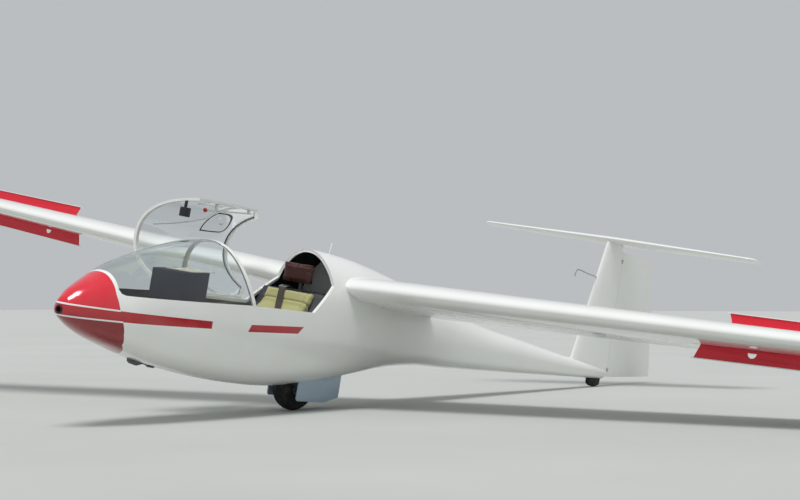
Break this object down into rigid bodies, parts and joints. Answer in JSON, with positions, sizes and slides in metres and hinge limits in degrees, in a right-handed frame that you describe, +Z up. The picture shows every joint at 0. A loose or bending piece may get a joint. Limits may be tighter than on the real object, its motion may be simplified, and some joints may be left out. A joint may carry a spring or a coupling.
{
  "type": "sailplane glider",
  "caption": "Single-seat T-tail sailplane resting on its wheel, tail skid and one wing tip, canopy open, airbrakes out.",
  "frame": {"origin": "middle of the footprint, on the ground", "axes": "nose towards +X, port wing towards +Y, +Z up; the aircraft rolls 8.4 degrees to port and pitches 4.3 degrees nose up, as it parks"},
  "size_m": [7.0022, 14.8462, 2.264],
  "materials": {
    "white_gelcoat": "polished white polyester gelcoat",
    "red_gelcoat": "polished red gelcoat",
    "red_enamel": "red enamel on sheet aluminium",
    "acrylic_glazing": "clear blown acrylic",
    "steel_fittings": "zinc plated steel",
    "tyre_rubber": "black rubber",
    "cast_wheel": "cast aluminium",
    "door_paint": "pale blue-grey enamel",
    "bay_paint": "grey primer",
    "black_plastic": "moulded black plastic",
    "skid_rubber": "black rubber block",
    "red_plastic": "moulded red plastic",
    "blue_plastic": "moulded blue plastic",
    "seat_shell": "grey painted glass fibre",
    "cream_fabric": "cream cotton canvas",
    "brown_leather": "brown grained leather",
    "navy_cover": "navy padded cloth cover",
    "cream_cover": "cream cloth glare shield",
    "white_plastic": "white plastic sleeve"
  },
  "bodies": {
    "airframe": {"nose_cap": "red_gelcoat", "fuselage_shell": "white_gelcoat", "tail_boom": "white_gelcoat", "windshield_arch": "white_gelcoat", "windshield_glass": "acrylic_glazing", "wing_starboard": "white_gelcoat", "wing_port": "white_gelcoat", "tip_skid_starboard": "steel_fittings", "tip_skid_port": "steel_fittings", "fin": "white_gelcoat", "tailplane": "white_gelcoat", "wheel_axle": "steel_fittings", "gear_fork": "steel_fittings", "wheel_bay_liner": "bay_paint", "tail_skid": "skid_rubber", "gear_door_starboard": "door_paint", "gear_door_port": "door_paint", "seat_pan": "seat_shell", "seat_cushion": "cream_fabric", "back_cushion": "cream_fabric", "headrest": "brown_leather", "headrest_post": "steel_fittings", "instrument_pod": "navy_cover", "pod_cover": "cream_cover", "instrument_panel": "black_plastic", "control_stick": "black_plastic", "rudder_pedals": "steel_fittings", "brake_lever": "blue_plastic", "vent_ring": "black_plastic", "total_energy_probe": "steel_fittings", "antenna": "white_plastic", "tow_hook": "steel_fittings"},
    "canopy": {"canopy_frame": "white_gelcoat", "canopy_glass": "acrylic_glazing", "canopy_handle": "black_plastic", "canopy_lock_rod": "steel_fittings", "canopy_lock_knob": "red_plastic"},
    "wheel": {"tyre": "tyre_rubber", "wheel_hub": "cast_wheel"},
    "rudder": {"rudder": "white_gelcoat"},
    "elevator": {"elevator": "white_gelcoat"},
    "aileron_port": {"aileron_port": "white_gelcoat"},
    "aileron_starboard": {"aileron_starboard": "white_gelcoat"},
    "brake_upper_port": {"brake_upper_port": "red_enamel", "brake_upper_cap_port": "white_gelcoat"},
    "brake_upper_starboard": {"brake_upper_starboard": "red_enamel", "brake_upper_cap_starboard": "white_gelcoat"},
    "brake_lower_port": {"brake_lower_port": "red_enamel", "brake_lower_cap_port": "white_gelcoat"},
    "brake_lower_starboard": {"brake_lower_starboard": "red_enamel", "brake_lower_cap_starboard": "white_gelcoat"}
  },
  "joints": [
    {"name": "wheel_spin", "type": "hinge", "parent": "airframe", "child": "wheel", "pos_m": [1.37831, -0.1447, 0.17323], "axis": [-0.0109, -0.9893, 0.1452], "continuous": true},
    {"name": "canopy_hinge", "type": "hinge", "parent": "airframe", "child": "canopy", "pos_m": [1.91317, -0.37434, 0.7288], "axis": [-0.9972, 0, -0.075], "range_deg": [0, 88]},
    {"name": "rudder_hinge", "type": "hinge", "parent": "airframe", "child": "rudder", "pos_m": [-2.6872, -0.11341, 0.08085], "axis": [-0.0445, 0.1455, 0.9884], "range_deg": [-30, 30]},
    {"name": "elevator_hinge", "type": "hinge", "parent": "airframe", "child": "elevator", "pos_m": [-2.73915, 0.04919, 1.18517], "axis": [-0.0109, -0.9893, 0.1452], "range_deg": [-25, 14]},
    {"name": "aileron_starboard_hinge", "type": "hinge", "parent": "airframe", "child": "aileron_starboard", "pos_m": [0.6393, -4.42981, 1.56808], "axis": [0.0484, -0.9769, 0.2083], "range_deg": [-20, 20]},
    {"name": "aileron_port_hinge", "type": "hinge", "parent": "airframe", "child": "aileron_port", "pos_m": [0.73644, 4.3754, 0.2762], "axis": [-0.0702, -0.9942, 0.0809], "range_deg": [-20, 20]},
    {"name": "brake_upper_starboard_slide", "type": "slide", "parent": "airframe", "child": "brake_upper_starboard", "axis": [0.1985, -0.1761, -0.9642], "range_m": [0, 0.086]},
    {"name": "brake_lower_starboard_slide", "type": "slide", "parent": "airframe", "child": "brake_lower_starboard", "axis": [-0.1981, 0.1958, 0.9604], "range_m": [0, 0.086]},
    {"name": "brake_upper_port_slide", "type": "slide", "parent": "airframe", "child": "brake_upper_port", "axis": [0.1992, -0.1126, -0.9735], "range_m": [0, 0.086]},
    {"name": "brake_lower_port_slide", "type": "slide", "parent": "airframe", "child": "brake_lower_port", "axis": [-0.1992, 0.0926, 0.9756], "range_m": [0, 0.086]}
  ],
  "couplings": [
    {"joint": "aileron_port_hinge", "follows": "aileron_starboard_hinge", "ratio": -1},
    {"joint": "brake_upper_port_slide", "follows": "brake_upper_starboard_slide", "ratio": 1},
    {"joint": "brake_lower_port_slide", "follows": "brake_upper_starboard_slide", "ratio": 1},
    {"joint": "brake_lower_starboard_slide", "follows": "brake_upper_starboard_slide", "ratio": 1}
  ]
}
